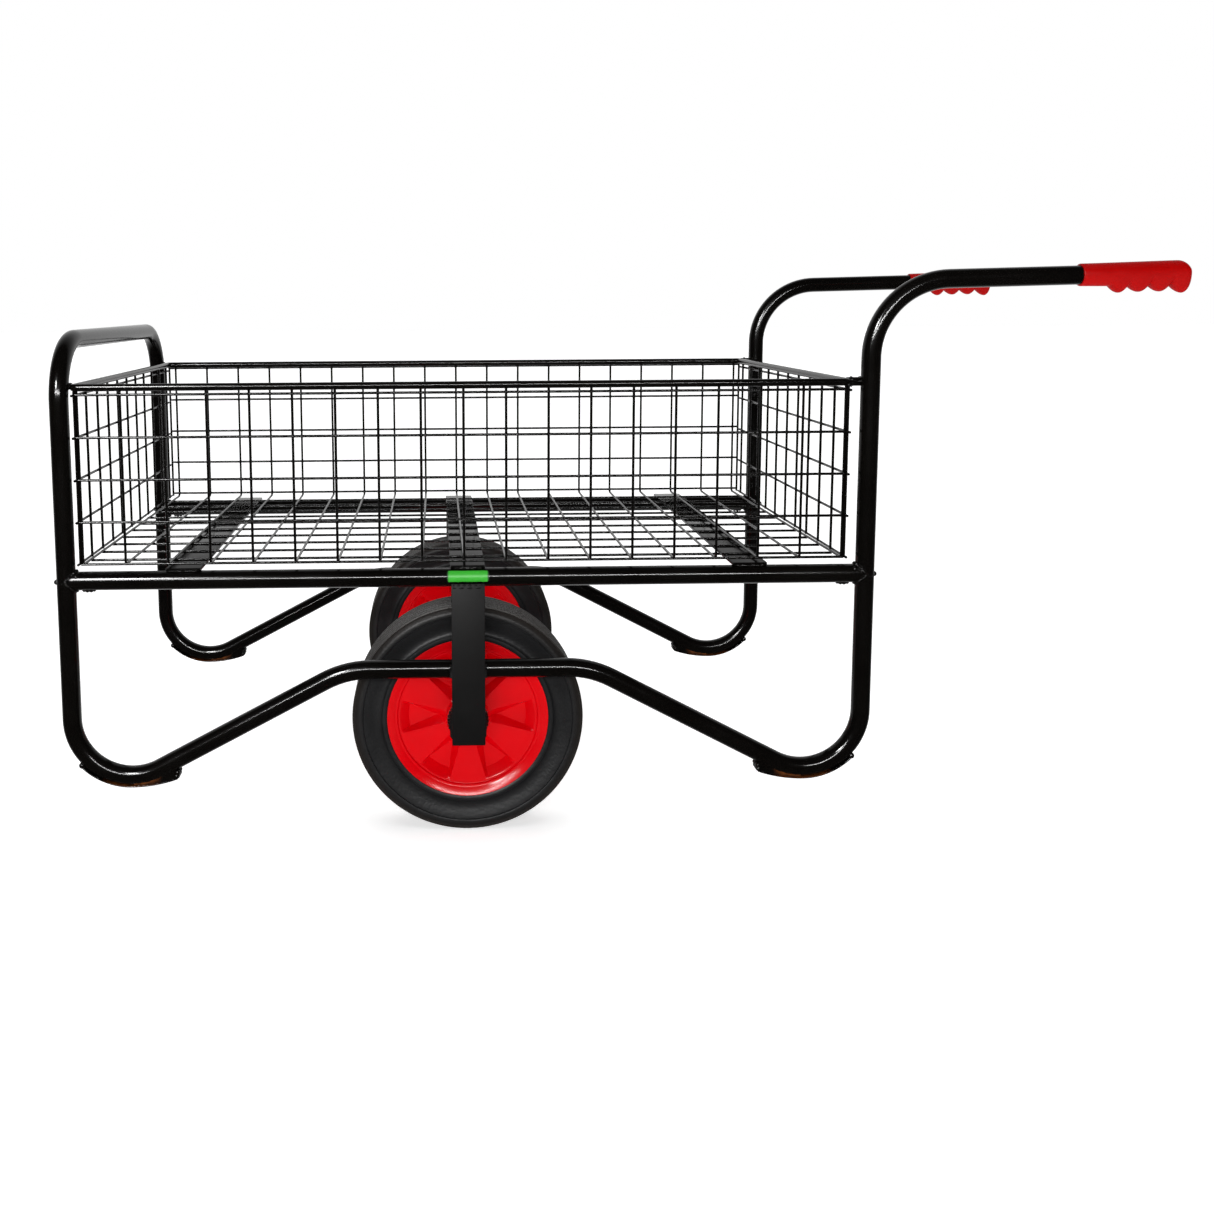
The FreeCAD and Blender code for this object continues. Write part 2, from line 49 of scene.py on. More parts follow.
def bent_path(corners, bend, closed=False, step=math.radians(4)):
    """Straight runs between corners, each corner rounded by an arc: centre
    on the bisector, at bend / cos(half the turn) from the corner."""
    corners = np.asarray(corners, float)
    count = len(corners)
    points = []
    for i in range(count):
        here = corners[i]
        if not closed and i in (0, count - 1):
            points.append(here[None])
            continue
        before = corners[i - 1] - here
        after = corners[(i + 1) % count] - here
        before /= np.linalg.norm(before)
        after /= np.linalg.norm(after)
        turn = math.pi - math.acos(np.clip(before @ after, -1, 1))
        reach = bend * math.tan(turn / 2)
        middle = (before + after) / np.linalg.norm(before + after)
        centre = here + middle * bend / math.cos(turn / 2)
        start = here + before * reach - centre
        sideways = -before * bend
        angle = np.linspace(0, turn, max(3, int(turn / step) + 2))[:, None]
        points.append(centre + start * np.cos(angle) + sideways * np.sin(angle))
    return np.concatenate(points)


def circle(radius, around=48):
    """Points at equal angles round a circle, as (sideways, other way)."""
    angle = np.linspace(0, 2 * np.pi, around, endpoint=False)
    return radius * np.stack([np.cos(angle), np.sin(angle)], 1)


def carried(path, across, section, closed=False):
    """A section carried along a path. At each point one axis of the section is
    the across vector, squared to the path, and the other is their product."""
    path = np.asarray(path, float)
    ahead = np.roll(path, -1, 0) - path
    behind = path - np.roll(path, 1, 0)
    if not closed:
        ahead[-1] = behind[-1]
        behind[0] = ahead[0]
    ahead /= np.linalg.norm(ahead, axis=1, keepdims=True)
    behind /= np.linalg.norm(behind, axis=1, keepdims=True)
    along = ahead + behind
    along /= np.linalg.norm(along, axis=1, keepdims=True)
    side = across - along * np.sum(across * along, 1, keepdims=True)
    side /= np.linalg.norm(side, axis=1, keepdims=True)
    other = np.cross(along, side)
    section = np.broadcast_to(section, (len(path),) + np.shape(section)[-2:])
    return (path[:, None] + side[:, None] * section[..., :1]
            + other[:, None] * section[..., 1:])


def skin(name, grids, smooth=35):
    """One mesh from grids of rings. Each ring closes on itself; a grid marked
    closed also joins its last ring to its first, and an open one gets end caps.
    The sign of the volume inside a grid tells which way its faces must turn."""
    places, faces, first = [], [], 0
    for grid, closed in grids:
        rings, around = grid.shape[:2]
        i = np.arange(rings if closed else rings - 1)[:, None]
        j = np.arange(around)[None]
        after_i = (i + 1) % rings
        after_j = (j + 1) % around
        quads = np.stack([i * around + j, after_i * around + j,
                          after_i * around + after_j, i * around + after_j], -1)
        quads = quads.reshape(-1, 4)
        flat = grid.reshape(-1, 3)
        middle = flat - flat.mean(0)
        a, b, c, d = (middle[quads[:, k]] for k in range(4))
        volume = np.sum(a * np.cross(b, c)) + np.sum(a * np.cross(c, d))
        caps = []
        if not closed:
            caps = [np.arange(around), np.arange(around)[::-1] + (rings - 1) * around]
            for cap in caps:
                ring = middle[cap]
                volume += np.sum(ring[0] * np.cross(ring[1:-1], ring[2:]))
        if volume < 0:
            quads = quads[:, ::-1]
            caps = [cap[::-1] for cap in caps]
        faces += (quads + first).tolist() + [(cap + first).tolist() for cap in caps]
        places.append(flat)
        first += len(flat)
    mesh = bpy.data.meshes.new(name)
    mesh.from_pydata(np.concatenate(places), [], faces)
    mesh.shade_smooth()
    mesh.set_sharp_from_angle(angle=math.radians(smooth))
    return mesh


def fit(name, mesh, material, slot, body, *nodes):
    """Put a finished mesh in the scene on its body, in place of its nodes."""
    piece = bpy.data.objects.new(name, mesh)
    bpy.context.scene.collection.objects.link(piece)
    mesh.materials.append(material)
    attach(piece, body)
    if nodes:
        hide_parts(*nodes)
    return piece


def new_material(name):
    """A material with its node tree and its shader."""
    material = bpy.data.materials.new(name)
    material.use_nodes = True
    return material, material.node_tree, material.node_tree.nodes["Principled BSDF"]


def noise(tree, scale, detail=2.0):
    """The value of a noise pattern fixed to the piece."""
    place = tree.nodes.new("ShaderNodeTexCoord")
    pattern = tree.nodes.new("ShaderNodeTexNoise")
    pattern.inputs["Scale"].default_value = scale
    pattern.inputs["Detail"].default_value = detail
    tree.links.new(place.outputs["Object"], pattern.inputs["Vector"])
    return pattern.outputs["Fac"]


def ranged(tree, value, start, end, first=0.0, last=1.0):
    """A value carried from the range start..end to the range first..last."""
    change = tree.nodes.new("ShaderNodeMapRange")
    limits = {"From Min": start, "From Max": end, "To Min": first, "To Max": last}
    for name, limit in limits.items():
        change.inputs[name].default_value = limit
    tree.links.new(value, change.inputs["Value"])
    return change.outputs["Result"]


def mixed(tree, factor, first, second):
    """A colour part of the way from the first to the second, each of which is
    a colour or another node's output."""
    mix = tree.nodes.new("ShaderNodeMix")
    mix.data_type = "RGBA"
    tree.links.new(factor, mix.inputs["Factor"])
    for name, colour in (("A", first), ("B", second)):
        if isinstance(colour, tuple):
            mix.inputs[name].default_value = colour
        else:
            tree.links.new(colour, mix.inputs[name])
    return mix.outputs["Result"]


def bumped(tree, height, strength, distance, under=None):
    """A normal tilted by the slope of a height, over another one if given."""
    bump = tree.nodes.new("ShaderNodeBump")
    bump.inputs["Strength"].default_value = strength
    bump.inputs["Distance"].default_value = distance
    tree.links.new(height, bump.inputs["Height"])
    if under:
        tree.links.new(under, bump.inputs["Normal"])
    return bump.outputs["Normal"]


def powder_coat(name, shine, smooth, rough, dark, light):
    """Black powder coat: a fine orange peel in the bump, a slower swell under
    it, and dust that changes the shade and dulls the gloss in soft patches."""
    material, tree, shader = new_material(name)
    shader.inputs["Specular IOR Level"].default_value = shine
    dust = noise(tree, 9, 6)
    gloss = ranged(tree, dust, 0.3, 0.7, smooth, rough)
    tree.links.new(gloss, shader.inputs["Roughness"])
    tree.links.new(mixed(tree, dust, dark, light), shader.inputs["Base Color"])
    swell = bumped(tree, noise(tree, 60), 0.06, 0.0015)
    peel = bumped(tree, noise(tree, 260), 0.10, 0.0006, swell)
    tree.links.new(peel, shader.inputs["Normal"])
    return material


gloss_black = (0.34, 0.10, 0.19, (0.0014, 0.0011, 0.0009, 1), (0.0034, 0.0028, 0.0024, 1))
coat = powder_coat("powder_coat", *gloss_black)
sides = (("left", -1), ("right", 1))
across_cart = np.array([0.0, 1.0, 0.0])
rail_low, rail_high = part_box("side_rail_left")
tube = (rail_high[2] - rail_low[2]) / 2
rail_z = rail_high[2] - tube
hoop_low, hoop_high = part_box("front_hoop")
front_x = (hoop_low[0] + hoop_high[0]) / 2
frame_y = hoop_high[1] - tube
rear_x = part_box("handle_tube_left")[0][0] + tube
for side, sign in sides:
    path = np.array([(front_x + 0.004, sign * frame_y, rail_z),
                     (rear_x - 0.004, sign * frame_y, rail_z)])
    mesh = skin(f"rail_{side}", [(carried(path, across_cart, circle(tube)), False)])
    fit(f"rail_{side}", mesh, coat, "frame_paint", "root", f"side_rail_{side}")

# ---- Front hoop -------------------------------------------------------------
# One tube bent twice into an upside-down U. It stands on the front ends of the
# leg tubes and closes the cart across the front, above the basket.
hoop_top = hoop_high[2] - tube
hoop_bend = 0.110
path = bent_path([(front_x, -frame_y, rail_z), (front_x, -frame_y, hoop_top),
                  (front_x, frame_y, hoop_top), (front_x, frame_y, rail_z)], hoop_bend)
mesh = skin("hoop", [(carried(path, np.array([1.0, 0, 0]), circle(tube)), False)])
fit("hoop", mesh, coat, "frame_paint", "root", "front_hoop")

# ---- Handle tubes -----------------------------------------------------------
# Each rises from the rear end of a leg tube and is bent back to the rear, with
# a slight rise of 1.2 degrees towards the grip.
rise = math.radians(1.2)
handle_bend = 0.137
for side, sign in sides:
    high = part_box(f"handle_tube_{side}")[1]
    end = np.array([high[0] - tube * math.sin(rise), sign * frame_y,
                    high[2] - tube * math.cos(rise)])
    corner_z = end[2] - (end[0] - rear_x) * math.tan(rise)
    path = bent_path([(rear_x, sign * frame_y, rail_z), (rear_x, sign * frame_y, corner_z),
                      end], handle_bend)
    mesh = skin(f"handle_{side}", [(carried(path, across_cart, circle(tube)), False)])
    fit(f"handle_{side}", mesh, coat, "frame_paint", "root", f"handle_tube_{side}")

# ---- Leg tubes --------------------------------------------------------------
# One long tube a side, bent into both feet and a raised level middle that is
# welded behind the axle strap. The slopes rise at 27.8 degrees.
slope = math.radians(27.8)
foot_bend = 0.106
foot_arc_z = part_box("leg_tube_left")[0][2] + tube + foot_bend
foot_corner_z = foot_arc_z - foot_bend * math.tan((math.pi / 2 + slope) / 2)
level_z = 0.325
level_bend = 0.180
run = (level_z - foot_corner_z) / math.tan(slope)
for side, sign in sides:
    y = sign * frame_y
    front = bent_path([(front_x, y, rail_z), (front_x, y, foot_corner_z),
                       (front_x + run, y, level_z)], foot_bend)[:-1]
    middle = bent_path([(front_x + run / 2, y, (level_z + foot_corner_z) / 2),
                        (front_x + run, y, level_z), (rear_x - run, y, level_z),
                        (rear_x - run / 2, y, (level_z + foot_corner_z) / 2)], level_bend)[1:-1]
    rear = front[::-1] * (-1, 1, 1) + (front_x + rear_x, 0, 0)
    path = np.concatenate([front, middle, rear])
    mesh = skin(f"leg_{side}", [(carried(path, across_cart, circle(tube)), False)])
    fit(f"leg_{side}", mesh, coat, "frame_paint", "root", f"leg_tube_{side}")

# ---- Frame welds ------------------------------------------------------------
# The bead where each rail meets its uprights, the seam where each upper tube
# was joined to its leg, and spatter under the rail. All under the powder coat.


def bead(path, outward, size, ripple=0.18, pitch=0.004, closed=True):
    """A rope of weld along a path: a circle whose radius rises and falls with
    the length along the path, once a pitch, by ripple times the size."""
    path = np.asarray(path, float)
    gone = np.concatenate([[0], np.cumsum(np.linalg.norm(np.diff(path, axis=0), axis=1))])
    swell = size * (1 + ripple * np.cos(2 * np.pi * gone / pitch))
    section = swell[:, None, None] * circle(1.0, 12)
    return carried(path, outward, section, closed), closed


def blob(at, way, size):
    """A drop of weld: rings whose radius is the sine of the way along it."""
    way = np.asarray(way, float) / np.linalg.norm(way)
    along = np.linspace(0.08, 0.92, 9) * np.pi
    path = np.asarray(at, float) - size * np.cos(along)[:, None] * way
    upright = np.array([0.2, 0.3, 1.0])
    return carried(path, upright, size * np.sin(along)[:, None, None] * circle(1.0, 12)), False


turn = np.linspace(0, 2 * np.pi, 160, endpoint=False)
for side, sign in sides:
    grids = []
    for post, inward in ((front_x, 1), (rear_x, -1)):
        reach = np.abs(tube * np.sin(turn))
        saddle = np.stack([post + inward * (reach + 0.0015),
                           sign * frame_y + (tube + 0.0008) * np.cos(turn),
                           rail_z + (tube + 0.0008) * np.sin(turn)], 1)
        grids.append(bead(saddle, np.array([1.0, 0.3, 0.2]), 0.0030))
        ring = np.stack([post + (tube + 0.0002) * np.cos(turn),
                         sign * frame_y + (tube + 0.0002) * np.sin(turn),
                         np.full_like(turn, rail_z - 0.003)], 1)
        grids.append(bead(ring, np.array([0.0, 0, 1.0]), 0.0012))
        near = sign * (frame_y - 0.001)
        grids.append(blob((post - inward * (tube + 0.0008), near, rail_z - 0.002),
                          (0, 0, 1), 0.0048))
        for away, drop, size in ((0.031, 0.0005, 0.0036), (0.037, 0.001, 0.0046),
                                 (0.044, 0.002, 0.0042), (0.050, 0.003, 0.0026)):
            grids.append(blob((post + inward * away, near + sign * drop, rail_z - tube),
                              (1, 0, 0), size))
        grids.append(blob((post + inward * (tube + 0.004), near + sign * 0.012, rail_z + 0.009),
                          (0, 0, 1), 0.0052))
    mesh = skin(f"weld_{side}", grids, 60)
    fit(f"weld_{side}", mesh, coat, "frame_paint", "root")

# ---- Deck slats -------------------------------------------------------------
# Three flat steel bars laid across the two rails and welded to them. The floor
# mesh lies on top of them.


def flat_section(wide, thick, corner, arc=4):
    """A rectangle whose corners are quarter circles, as a closed ring."""
    angle = np.linspace(0, np.pi / 2, arc)
    quarter = corner * np.stack([np.cos(angle), np.sin(angle)], 1)
    ring = []
    for spin, (sx, sy) in enumerate(((1, 1), (-1, 1), (-1, -1), (1, -1))):
        cos, sin = round(math.cos(spin * math.pi / 2)), round(math.sin(spin * math.pi / 2))
        turned = quarter @ np.array([[cos, sin], [-sin, cos]])
        ring.append(turned + (sx * (wide / 2 - corner), sy * (thick / 2 - corner)))
    return np.concatenate(ring)


def bar(low, high, way, corner=0.0012):
    """A bar that fills a box, long along one axis: its section, slightly
    smaller at each end so that the end edges are softened too."""
    low, high = np.asarray(low, float), np.asarray(high, float)
    middle = (low + high) / 2
    others = [k for k in range(3) if k != way]
    half = (high - low) / 2
    stations = half[way] * np.array([-1, -1, 1, 1]) + corner * np.array([0, 1, -1, 0])
    path = np.repeat(middle[None], 4, 0)
    path[:, way] += stations
    first = np.eye(3)[others[0]]
    wide, thick = 2 * half[others[0]], 2 * half[others[1]]
    inner = flat_section(wide - corner, thick - corner, corner)
    outer = flat_section(wide, thick, corner)
    return carried(path, first, np.stack([inner, outer, outer, inner])), False


for name in ("front", "middle", "rear"):
    low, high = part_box(f"deck_slat_{name}")
    grids = [bar(low, high, 1)]
    for sign in (-1, 1):
        run_x = np.linspace(low[0] + 0.006, high[0] - 0.006, 40)
        weld = np.stack([run_x, np.full(40, sign * (high[1] + 0.0005)),
                         np.full(40, low[2] + 0.0005)], 1)
        grids.append(bead(weld, np.array([0.0, 0, 1.0]), 0.0022, closed=False))
    mesh = skin(f"slat_{name}", grids)
    fit(f"slat_{name}", mesh, coat, "frame_paint", "root", f"deck_slat_{name}")

# ---- Axle straps and plates -------------------------------------------------
# A flat strap hangs outside each rail and leg tube. A second plate stands
# inside the leg tube, its foot wider than its neck and cut off at the corners.
# Both are the frame's black, sprayed thinner and so less glossy.


def flat_plate(outline, near, far):
    """A flat plate: one outline in X and Z, carried in four steps from near to
    far in Y, the first and last drawn in a little to soften the edges."""
    outline = np.asarray(outline, float)
    middle = (outline.max(0) + outline.min(0)) / 2
    half = (outline.max(0) - outline.min(0)) / 2
    soft = 0.0007
    grid = []
    for y, shrink in ((near, soft), (near + soft * np.sign(far - near), 0),
                      (far - soft * np.sign(far - near), 0), (far, soft)):
        ring = middle + (outline - middle) * (1 - shrink / half)
        grid.append(np.stack([ring[:, 0], np.full(len(ring), y), ring[:, 1]], 1))
    return np.array(grid), False


dull = powder_coat("dull_coat", 0.12, 0.42, 0.60, (0.0042, 0.0039, 0.0039, 1),
                   (0.0075, 0.0070, 0.0070, 1))
for side, sign in sides:
    low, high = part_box(f"axle_strap_{side}")
    middle = (low[0] + high[0]) / 2
    strap_top = high[2] - 0.0045
    grids = [bar(low, (high[0], high[1], strap_top), 2, 0.0008)]
    tall = np.linspace(level_z - 0.012, level_z + 0.012, 20)
    for edge in (low[0] - 0.0005, high[0] + 0.0005):
        weld = np.stack([np.full(20, edge), np.full(20, sign * (frame_y + tube)), tall], 1)
        grids.append(bead(weld, across_cart, 0.0034, closed=False))
    run_x = np.linspace(low[0] + 0.003, high[0] - 0.003, 40)
    for drop in (0.002, 0.007):
        weld = np.stack([run_x, np.full(40, sign * (frame_y + tube + 0.0035)),
                         np.full(40, strap_top - drop)], 1)
        grids.append(bead(weld, across_cart, 0.0019, 0.35, 0.008 + drop, closed=False))
    mesh = skin(f"strap_{side}", grids)
    fit(f"strap_{side}", mesh, dull, "frame_paint", "root", f"axle_strap_{side}")
    low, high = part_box(f"axle_plate_{side}")
    foot = (high[0] - low[0]) / 2
    half = [(foot - 0.007, low[2]), (foot, low[2] + 0.009), (foot, 0.233), (0.025, 0.246),
            (0.025, high[2])]
    outline = [(middle + x, z) for x, z in half] + [(middle - x, z) for x, z in half[::-1]]
    grids = [flat_plate(outline, low[1], high[1])]
    run_x = np.linspace(middle - 0.022, middle + 0.022, 40)
    for z in (level_z - tube * 0.8, level_z + tube * 0.8):
        weld = np.stack([run_x, np.full(40, sign * (frame_y - tube + 0.001)), np.full(40, z)], 1)
        grids.append(bead(weld, across_cart, 0.0025, closed=False))
    mesh = skin(f"plate_{side}", grids)
    fit(f"plate_{side}", mesh, dull, "frame_paint", "root", f"axle_plate_{side}")

# ---- Foot skids -------------------------------------------------------------
# A thin strip bent under each foot and welded at both ends. It follows the bend
# by the upright and stands off the slope; brown primer shows along its edge.


def skid_paint():
    """The frame's black, with brown primer mixed in where the piece's own
    'primer' attribute is high, broken up by noise."""
    paint = powder_coat("skid_paint", *gloss_black)
    tree = paint.node_tree
    shader = tree.nodes["Principled BSDF"]
    black = shader.inputs["Base Color"].links[0].from_socket
    bare = tree.nodes.new("ShaderNodeAttribute")
    bare.attribute_name = "primer"
    much = tree.nodes.new("ShaderNodeMath")
    much.operation = "MULTIPLY"
    tree.links.new(bare.outputs["Fac"], much.inputs[0])
    tree.links.new(noise(tree, 90, 5), much.inputs[1])
    brown = mixed(tree, much.outputs["Value"], black, (0.26, 0.075, 0.016, 1))
    tree.links.new(brown, shader.inputs["Base Color"])
    return paint


primer_paint = skid_paint()
low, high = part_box("foot_skid_front_left")
thick = 0.0025
web_half = 0.0105
foot_x = front_x + foot_bend
near_reach = foot_arc_z - low[2] - thick / 2
flat_bend = 0.250 - thick / 2
flat_z = low[2] + thick / 2 + flat_bend
steep_turn = np.radians(np.linspace(225, 270, 30))
flat_turn = np.radians(np.linspace(270, 289.3, 20))[1:]
path = np.concatenate([
    np.stack([near_reach * np.cos(steep_turn), foot_arc_z + near_reach * np.sin(steep_turn)], 1),
    np.stack([flat_bend * np.cos(flat_turn), flat_z + flat_bend * np.sin(flat_turn)], 1)])
wide = high[1] - low[1]
for side, sign in sides:
    for name, arc_x, way in (("front", foot_x, 1), ("rear", rear_x - foot_bend, -1)):
        strip = np.stack([arc_x + way * path[:, 0], np.full(len(path), sign * frame_y),
                          path[:, 1]], 1)
        grids = [(carried(strip, across_cart, flat_section(wide, thick, 0.0008)), False)]
        steep_end, flat_end = strip[0], strip[-1]
        # Drops of weld close both ends, and a filled web joins the strip to the slope.
        for y in (-0.009, 0.0, 0.009):
            grids.append(blob(steep_end + (-way * 0.001, y, 0.0042), (0, 1, 0), 0.0058))
            grids.append(blob(flat_end + (-way * 0.001, y, 0.0050), (0, 1, 0), 0.0056))
            grids.append(blob(flat_end + (way * 0.0005, y, 0.0110), (0, 1, 0), 0.0050))
        web_x = np.linspace(0.004, path[-1, 0] - 0.001, 24)
        leaves = (foot_bend + tube) * math.sin(slope)
        curve_z = np.sqrt((foot_bend + tube) ** 2 - np.minimum(web_x, leaves) ** 2)
        tube_z = foot_arc_z - curve_z + np.maximum(web_x - leaves, 0) * math.tan(slope)
        ripple = web_half + 0.0007 * np.cos(np.linspace(0, 30, 24))
        web = np.empty((24, 4, 3))
        web[..., 0] = arc_x + way * web_x[:, None]
        web[..., 1] = sign * frame_y + ripple[:, None] * np.array([-1, 1, 1, -1])
        web[:, :2, 2] = np.interp(web_x, path[:, 0], path[:, 1])[:, None]
        web[:, 2:, 2] = tube_z[:, None] + 0.005
        grids.append((web, False))
        mesh = skin(f"skid_{name}_{side}", grids, 50)
        # Primer shows on the upper face and edges of the strip, under the bend.
        places = np.empty(len(mesh.vertices) * 3)
        mesh.vertices.foreach_get("co", places)
        places = places.reshape(-1, 3)
        along = way * (places[:, 0] - arc_x)
        under = np.interp(along, path[:, 0], path[:, 1])
        inner = np.clip((places[:, 2] - under) / (thick / 2), 0, 1)
        between = np.clip((along + 0.055) / 0.02, 0, 1) * np.clip((0.055 - along) / 0.02, 0, 1)
        mesh.attributes.new("primer", "FLOAT", "POINT").data.foreach_set("value", inner * between)
        fit(f"skid_{name}_{side}", mesh, primer_paint, "frame_paint", "root",
            f"foot_skid_{name}_{side}")

# ---- Basket rim -------------------------------------------------------------
# One rod bent into a rectangle with tight corners and welded shut. Its front
# lies against the hoop, and two short stubs hold its rear to the handle tubes.
low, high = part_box("basket_rim")
rod = (high[2] - low[2]) / 2
rim_z = low[2] + rod
left, right = low[1] + rod, high[1] - rod
rim_front, rim_rear = low[0] + rod, high[0] - rod
rim_bend = 0.011
path = bent_path([(rim_front, left, rim_z), (rim_rear, left, rim_z),
                  (rim_rear, right, rim_z), (rim_front, right, rim_z)], rim_bend, True)
grids = [(carried(path, np.array([0, 0, 1.0]), circle(rod, 32), True), True)]
for sign in (-1, 1):
    touch = np.stack([np.full(20, front_x + tube - 0.001),
                      sign * (frame_y - 0.012) + np.linspace(-0.009, 0.009, 20),
                      np.full(20, rim_z + 0.002)], 1)
    grids.append(bead(touch, np.array([0, 0, 1.0]), 0.0052, closed=False))
mesh = skin("rim", grids, 50)
fit("rim", mesh, coat, "frame_paint", "root", "basket_rim")
for side, sign in sides:
    low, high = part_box(f"rim_stub_{side}")
    y = (low[1] + high[1]) / 2
    size = (high[2] - low[2]) / 2
    path = np.array([(rim_rear, y, rim_z), (rear_x - tube * 0.5, y, rim_z)])
    grids = [(carried(path, across_cart, circle(size, 32)), False)]
    ring = np.stack([np.full_like(turn, rim_rear + rod + 0.001), y + size * np.cos(turn),
                     rim_z + size * np.sin(turn)], 1)
    grids.append(bead(ring, np.array([1.0, 0, 0]), 0.0016))
    edge = np.sqrt(tube ** 2 - (sign * y - frame_y + size * np.cos(turn)) ** 2)
    ring = np.stack([rear_x - edge - 0.001, y + size * np.cos(turn), rim_z + size * np.sin(turn)], 1)
    grids.append(bead(ring, np.array([1.0, 0, 0]), 0.0016))
    mesh = skin(f"stub_{side}", grids, 50)
    fit(f"stub_{side}", mesh, coat, "frame_paint", "root", f"rim_stub_{side}")

# ---- Basket mesh ------------------------------------------------------------
# Welded wire mesh at 75 mm pitch. One sheet is folded up along both long sides,
# so its wires make a side, the floor and the other side, a little closer together
# on the right. A panel closes each end. The wire is drawn a little thicker than
# the bare wire, so that it still reads from a distance.
low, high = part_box("mesh_floor")
thicker = 1.42
wire = (high[2] - low[2]) / 2 * thicker
floor_z = low[2] + wire
mesh_front, mesh_rear = low[0] - 0.002, high[0] + 0.004
side_low, side_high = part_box("mesh_side_right")
mesh_y = (side_low[1] + side_high[1]) / 2
mesh_top = side_high[2] - wire
up = 2 * wire * 0.88
reach = rim_z - rod * 0.85
section = circle(wire, 10)
row_pitch = 0.0755
heights = mesh_top - row_pitch * np.arange(5)
middle = mesh_front + (mesh_rear - mesh_front) * 10 / 18
drawn_closer = 0.9856
grids = []
for x in np.linspace(mesh_front, mesh_rear, 19):
    inside = mesh_y - up
    far_x = middle + (x - middle) * drawn_closer
    path = bent_path([(x, -inside, reach), (x, -inside, floor_z + up),
                      (far_x, inside, floor_z + up), (far_x, inside, reach)], 0.008, False,
                     math.radians(15))
    grids.append((carried(path, np.array([1.0, 0, 0]), section), False))
straight = [(y, floor_z) for y in np.linspace(-mesh_y + 0.064, mesh_y - 0.064, 10)]
straight += [(sign * mesh_y, z + 0.0004 + 0.0022 * sign) for sign in (-1, 1) for z in heights]
for y, z in straight:
    path = np.array([(mesh_front - 0.002, y, z), (mesh_rear + 0.002, y, z)])
    grids.append((carried(path, across_cart, section), False))
mesh = skin("mesh_sheet", grids, 60)
fit("mesh_sheet", mesh, coat, "frame_paint", "root", "mesh_floor", "mesh_side_left",
    "mesh_side_right")
for name, x, out in (("front", mesh_front, -1), ("rear", mesh_rear, 1)):
    grids = []
    for y in np.append(-mesh_y + 0.003 + 0.075 * np.arange(11), mesh_y - 0.003):
        path = np.array([(x + out * up, y, floor_z + up), (x + out * up, y, reach)])
        grids.append((carried(path, across_cart, section), False))
    for z in heights - 0.0035:
        path = np.array([(x + out * up * 2, -mesh_y + 0.002, z),
                         (x + out * up * 2, mesh_y - 0.002, z)])
        grids.append((carried(path, np.array([1.0, 0, 0]), section), False))
    mesh = skin(f"mesh_{name}_panel", grids, 60)
    fit(f"mesh_{name}_panel", mesh, coat, "frame_paint", "root", f"mesh_{name}")

# ---- Tyres ------------------------------------------------------------------
# Cushion tyres moulded in black rubber: a bead against the wheel, a hollowed
# wall, a raised band at the shoulder, and a plain ribbed tread that has
# picked up brown dust.


def around_axle(profile, centre, out, steps):
    """A closed outline of (distance out along the axle, radius) turned about
    the axle: each point goes round its own circle in equal steps."""
    profile = np.asarray(profile, float)
    angle = np.linspace(0, 2 * np.pi, steps, endpoint=False)[:, None]
    grid = np.empty((steps, len(profile), 3))
    grid[..., 0] = centre[0] + profile[:, 1] * np.sin(angle)
    grid[..., 1] = centre[1] + out * profile[:, 0]
    grid[..., 2] = centre[2] + profile[:, 1] * np.cos(angle)
    return grid


def tyre_rubber(centre):
    """Black rubber that turns brown-grey with dust towards the tread. The
    distance from the axle drives the change, and noise breaks it up."""
    material, tree, shader = new_material("tyre_rubber")
    shader.inputs["Roughness"].default_value = 0.45
    shader.inputs["Specular IOR Level"].default_value = 0.24
    place = tree.nodes.new("ShaderNodeTexCoord")
    about = tree.nodes.new("ShaderNodeVectorMath")
    about.operation = "MULTIPLY_ADD"
    about.inputs[1].default_value = (1, 0, 1)
    about.inputs[2].default_value = (-centre[0], 0, -centre[2])
    tree.links.new(place.outputs["Object"], about.inputs[0])
    away = tree.nodes.new("ShaderNodeVectorMath")
    away.operation = "LENGTH"
    tree.links.new(about.outputs["Vector"], away.inputs[0])
    dusty = ranged(tree, away.outputs["Value"], 0.196, 0.2135)
    wall = mixed(tree, noise(tree, 22, 5), (0.0050, 0.0052, 0.0056, 1),
                 (0.0150, 0.0150, 0.0160, 1))
    shade = mixed(tree, dusty, wall, (0.0190, 0.0150, 0.0125, 1))
    tree.links.new(shade, shader.inputs["Base Color"])
    grain = bumped(tree, noise(tree, 160, 6), 0.6, 0.0012)
    tree.links.new(grain, shader.inputs["Normal"])
    return material


